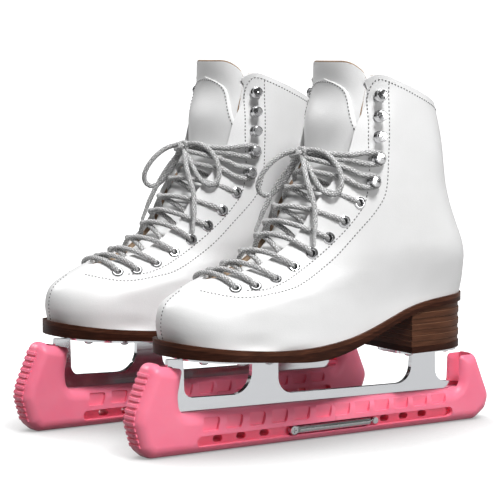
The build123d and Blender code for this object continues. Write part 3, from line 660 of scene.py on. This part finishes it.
class Lacing:
    """Places of the lacing in a skate's own frame, read off the outer leather beside the eyelets."""

    def __init__(self):
        self.leather = Leather("left_upper_lateral")     # its widths stand for every half

    def width(self, x, height):
        """Distance of the leather from the centre plane, measured either side of an eyelet's hole."""
        found = []
        for beside in (-BESIDE_HOLE, BESIDE_HOLE):
            place = in_skate("left", (x + beside, OUTSIDE, height))
            hit = self.leather.seen_from(place, Vector((0, -1, 0)))
            if hit is not None:
                found.append((hit[0].y - ORIGIN["left"].y) / MM)
        return sum(found) / len(found)

    def point(self, row, across, lift):
        """Point over the instep: across runs from +1 at the +Y eyelet of a row to -1 at the other."""
        x, height = LACING_ROW[row]
        lean_x, lean_z = LACING_LEAN[row]
        reach = 0.0
        while instep_front(height + lean_z * reach) > x + lean_x * reach:
            reach += 0.25
        angle = across * LACING_SPREAD
        flat = math.cos(LACING_SPREAD)
        forward = reach * (math.cos(angle) - flat) / (1 - flat) + math.cos(angle) * lift
        width = self.width(x, height) * math.sin(angle) / math.sin(LACING_SPREAD)
        return Vector((x + lean_x * forward, width + math.sin(angle) * lift, height + lean_z * forward))

    def between(self, row, fraction, across, lift):
        return self.point(row, across, lift).lerp(self.point(row + 1, across, lift), fraction)

    def rising(self, row, side, lift):
        """A strand's start: from inside an eyelet, out through the throat and over the middle."""
        inside = -UPPER_THICKNESS - LACE_RADIUS
        return [self.point(row, side, inside), self.between(row, 0.1, side * 0.72, inside - 0.3),
                self.between(row, 0.3, side * 0.4, -LACE_RADIUS), self.between(row, 0.5, 0, lift)]

    def crossing(self, row, side, lift):
        """Strand from one eyelet over to the next one across."""
        inside = -UPPER_THICKNESS - LACE_RADIUS
        return self.rising(row, side, lift) + [
            self.between(row, 0.75, -side * 0.5, lift * 0.5 + 1.6),
            self.between(row, 0.92, -side * 0.82, LACE_RADIUS + 0.7),
            self.point(row + 1, -side, LACE_RADIUS - 0.4),
            self.point(row + 1, -side, inside),
        ]

    def first_bar(self):
        inside = -UPPER_THICKNESS - LACE_RADIUS
        half = [(1, inside), (1, LACE_RADIUS - 0.4), (0.7, LACE_RADIUS + 0.9), (0.25, LACE_RADIUS + 0.9)]
        other_half = [(-across, lift) for across, lift in reversed(half)]
        return [self.point(0, *place) for place in half + other_half]

    def hook_wrap(self, row, side):
        """Turn behind a hook's neck, from below it to above it."""
        x, height = LACING_ROW[row]

        def surface(x, height):
            return Vector((x, side * self.width(x, height), height))

        near = 4
        along = surface(x + near, height) - surface(x - near, height)
        upward = surface(x, height + near) - surface(x, height - near)
        normal = along.cross(upward).normalized()
        if normal.y * side < 0:
            normal = -normal
        up = (Vector((0, 0, 1)) - normal * normal.z).normalized()
        forward = up.cross(normal) * -side
        turn = HOOK_NECK + LACE_RADIUS + 0.15
        middle = surface(x, height) + normal * HOOK_LACE_LIFT
        corners = [(HOOK_RUN, -turn), (-turn, -turn), (-turn, turn), (HOOK_RUN, turn)]
        return [middle + forward * ahead + up * rise for ahead, rise in corners]

    def hook_strand(self, side, lift):
        """Strand from the top eyelet round the lowest hook across, and back round the next hook."""
        top = len(EYELET_ROW) - 1
        route = self.rising(top, side, lift)
        route += [self.between(top, 0.65, -side * 0.4, lift + 1), self.between(top, 0.75, -side * 0.75, 5)]
        route += self.hook_wrap(top + 1, -side)
        over = [(0.3, -0.75, 5.5), (0.4, -0.4, lift + 2.5), (0.55, 0, lift + 2), (0.65, 0.4, lift + 2.5),
                (0.75, 0.75, 5.5)]
        route += [self.between(top + 1, fraction, side * across, rise) for fraction, across, rise in over]
        route += self.hook_wrap(top + 2, side)
        route += [self.point(top + 2, side * 0.7, 6), self.point(top + 2, side * 0.35, lift + 4)]
        return route + [KNOT + Vector((-1.5, side * 2, lift / 2 - 3))]

    def strands(self):
        routes = [self.first_bar()]
        for row in range(len(EYELET_ROW) - 1):
            routes += [self.crossing(row, 1, 1.4), self.crossing(row, -1, 4.2)]
        return routes + [self.hook_strand(1, 1.4), self.hook_strand(-1, 4.4)]


def make_lacing(skate, routes, materials):
    """The laced part, held tight by the eyelets and hooks, as one piece."""
    vertices, faces, shades = [], [], []
    for number, route in enumerate(routes):
        points = centreline(f"strand_{number}", [in_skate(skate, place) for place in route])
        strand, strand_faces, strand_shades = braid(points, LACE_RADIUS * MM)
        faces += [tuple(len(vertices) + k for k in face) for face in strand_faces]
        vertices += strand
        shades += strand_shades
    lacing = make_piece(skate + "_lacing", vertices, faces, materials["cord"], skate + "_skate")
    shade(lacing, shades)
    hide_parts(skate + "_lace")


def make_knot(skate, materials):
    """The bow's knot: a lace wound over and under itself round the crossing."""
    outward = Vector((0.75, 0, 0.66))
    across = Vector((0, 1, 0))
    upward = outward.cross(across)
    steps = 160
    points = []
    for k in range(steps + 1):
        turn = 2 * math.pi * k / steps
        reach = 2.7 + 1.5 * math.cos(3 * turn)
        place = KNOT + across * (1.15 * reach * math.cos(2 * turn))
        place += upward * (0.85 * reach * math.sin(2 * turn))
        points.append(in_skate(skate, place + outward * (1.9 * math.sin(3 * turn) + 0.6)))
    vertices, faces, shades = braid(points, LACE_RADIUS * MM)
    knot = make_piece(skate + "_bow_knot", vertices, faces, materials["cord"], skate + "_skate")
    shade(knot, shades)


# ---- Tongue and stitching -------------------------------------------------------------------------
class Leather:
    """The outer surface of some nodes, to lay stitches on."""

    def __init__(self, *names):
        vertices, faces = [], []
        for name in names:
            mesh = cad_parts[name].data
            first = len(vertices)
            vertices += [vertex.co.copy() for vertex in mesh.vertices]
            faces += [tuple(first + k for k in face.vertices) for face in mesh.polygons]
        self.tree = BVHTree.FromPolygons(vertices, faces)

    def seen_from(self, place, direction):
        """(point, normal) of the surface met from a place along a direction."""
        point, normal, _, _ = self.tree.ray_cast(place, direction)
        if point is None:
            return None
        return point, (normal if normal.dot(direction) < 0 else -normal)


def smooth_path(points, steps=24):
    """Many points on a smooth line through a few."""
    points = [Vector(p) for p in points]
    dense = []
    ends = [2 * points[0] - points[1]] + points + [2 * points[-1] - points[-2]]
    for a, b, c, d in zip(ends, ends[1:], ends[2:], ends[3:]):
        for k in range(steps):
            s = k / steps
            dense.append(0.5 * (2 * b + (c - a) * s + (2 * a - 5 * b + 4 * c - d) * s * s
                                + (3 * b - a - 3 * c + d) * s ** 3))
    return dense + [points[-1]]


def stitch_row(name, places, material, body):
    """One thread's stitches along (point, normal) places, each bulging up between two needle holes."""
    met = [hit for hit in places if hit is not None]
    chain = spaced([point for point, _ in met], STITCH_PITCH)
    vertices, faces = [], []
    sides, rings = 6, 5
    for start, end in zip(chain, chain[1:]):
        centre = (start + end) / 2
        direction = (end - start).normalized()
        _, normal = min(met, key=lambda hit: (hit[0] - centre).length_squared)
        side = direction.cross(normal).normalized()
        faces += join_rings(len(vertices), rings, sides)
        for ring in range(rings):
            along = -1 + 2 * ring / (rings - 1)
            middle = centre + direction * (along * STITCH_LENGTH / 2)
            middle += normal * STITCH_RADIUS * (0.35 - 0.9 * along * along)
            reach = STITCH_RADIUS * math.sqrt(1 - 0.7 * along * along)
            vertices += ring_of(middle, side, normal, reach, sides)
    return make_piece(name, vertices, faces, material, body)


def tongue_panel_places(skate):
    """(point, normal) over the tongue, row by row from the panel's lower edge up to its arched top."""
    tongue = Leather(skate + "_tongue_top", skate + "_tongue_lower")
    rows, columns = 70, 28
    top = max(z for _, z in TONGUE_PANEL) + TONGUE_PANEL_MARGIN
    half_arch = [(y + TONGUE_PANEL_MARGIN, z, 0) for y, z in TONGUE_PANEL[:-1]] + [(0, top, 0)]
    arch = [(p.y, p.x) for p in smooth_path(half_arch)]
    places = []
    for row in range(rows + 1):
        height = TONGUE_PANEL_LOW + (top - 0.05 - TONGUE_PANEL_LOW) * (1 - (1 - row / rows) ** 1.6)
        if height <= arch[0][0]:
            half = min(arch[0][1], 24 + (height - TONGUE_PANEL_LOW) * 0.2)
        else:
            half = min((abs(z - height), y) for z, y in arch)[1]
        found = []
        for column in range(columns + 1):
            y = half * (2 * column / columns - 1)
            # A ray can slip through the hair's gap between the tongue's halves, or past its edge.
            tries = [in_skate(skate, (OUTSIDE, y * narrower, height + rise))
                     for narrower in (1, 0.96, 0.92, 0.88, 0.8) for rise in (0, 0.8)]
            hit = next(filter(None, (tongue.seen_from(place, Vector((-1, 0, 0))) for place in tries)))
            found.append((Vector((hit[0].x, hit[0].y, in_skate(skate, (0, 0, height)).z)), hit[1]))
        places.append(found)
    return places


def make_tongue_panel(skate, materials):
    """Second leather over the tongue, arched at its top, that runs down under the lacing."""
    places = tongue_panel_places(skate)
    rows, columns = len(places) - 1, len(places[0]) - 1
    front = [point + normal * TONGUE_PANEL_THICKNESS * MM for row in places for point, normal in row]
    back = [point - normal * TONGUE_PANEL_SUNK * MM for row in places for point, normal in row]
    across, shift = columns + 1, len(front)
    faces = []
    for row in range(rows):
        for column in range(columns):
            low = row * across + column
            faces.append((low, low + 1, low + across + 1, low + across))
            faces.append((low + shift + across, low + shift + across + 1, low + shift + 1, low + shift))
    rim = ([k for k in range(across)] + [row * across + columns for row in range(1, rows + 1)]
           + [rows * across + k for k in reversed(range(columns))]
           + [row * across for row in reversed(range(1, rows))])
    for here, after in zip(rim, rim[1:] + rim[:1]):
        faces.append((here, here + shift, after + shift, after))
    panel = make_object(skate + "_tongue_panel", front + back, faces, materials["leather"])
    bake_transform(panel)


def make_tongue_rim(skate, materials):
    """Folded edge of the tan lining along the top of the tongue."""
    tongue = Leather(skate + "_tongue_top")
    side = [(TONGUE_HALF, z) for z in range(TONGUE_RIM_LOW, TONGUE_TOP - TONGUE_CORNER, 3)]
    turns = [math.radians(angle) for angle in range(0, 91, 10)]
    corner = [(TONGUE_HALF - TONGUE_CORNER * (1 - math.cos(turn)),
               TONGUE_TOP - TONGUE_CORNER * (1 - math.sin(turn))) for turn in turns]
    half = side + corner
    outline = half + [(0, TONGUE_TOP)] + [(-y, z) for y, z in reversed(half)]
    points = []
    for y, z in outline:
        inner = (OUTSIDE, y * (1 - TONGUE_RIM_INSET / TONGUE_HALF), z - TONGUE_RIM_INSET)
        hit = tongue.seen_from(in_skate(skate, inner), Vector((-1, 0, 0)))
        if hit is not None:
            points.append(hit[0] + Vector((-1.3 * MM, 0, 0.7 * MM)))
    frames = tube_frames(spaced(points, 1.0 * MM))
    sides = 8
    vertices = []
    for point, _, across, up in frames:
        vertices += ring_of(point, across, up, TONGUE_RIM_RADIUS * MM, sides)
    make_piece(skate + "_tongue_rim", vertices, join_rings(0, len(frames), sides), materials["edge"],
               skate + "_tongue")


def make_stitching(skate, materials):
    """The stitch rows of both faces of the boot, the toe's seam and the tongue's panel."""
    upper = Leather(skate + "_upper_lateral", skate + "_upper_medial")
    tongue = Leather(skate + "_tongue_top")
    body, yarn = skate + "_skate", materials["thread"]
    lines = {"eyestay": EYESTAY_SEAM, "facing": FACING_EDGE, "throat": THROAT_EDGE}
    for face, side in (("lateral", 1), ("medial", -1)):
        outward = side * SKATES[skate]
        for line, outline in lines.items():
            places = [upper.seen_from(in_skate(skate, (x, outward * OUTSIDE, z)), Vector((0, -outward, 0)))
                      for x, z, _ in smooth_path([(x, z, 0) for x, z in outline])]
            stitch_row(f"{skate}_{line}_stitches_{face}", places, yarn, body)
    ahead_of_toe = OUTSIDE + 60
    toe = [upper.seen_from(in_skate(skate, (ahead_of_toe, -3, z)), Vector((-1, 0, 0))) for z in TOE_SEAM]
    stitch_row(skate + "_toe_stitches", toe, yarn, body)
    panel = TONGUE_PANEL + [(-y, z) for y, z in reversed(TONGUE_PANEL[:-1])]
    places = [tongue.seen_from(in_skate(skate, (OUTSIDE, y, z)), Vector((-1, 0, 0)))
              for y, z, _ in smooth_path([(y, z, 0) for y, z in panel])]
    lift = TONGUE_PANEL_THICKNESS * MM
    places = [(hit[0] + hit[1] * lift, hit[1]) for hit in places if hit is not None]
    stitch_row(skate + "_tongue_stitches", places, yarn, skate + "_tongue")


def main():
    make_camera()
    materials = make_materials()
    routes = Lacing().strands()
    for skate in SKATES:
        make_bow(skate, materials)
        make_knot(skate, materials)
        make_lacing(skate, routes, materials)
        make_tongue_panel(skate, materials)
        make_tongue_rim(skate, materials)
        make_stitching(skate, materials)
    make_studio()


main()
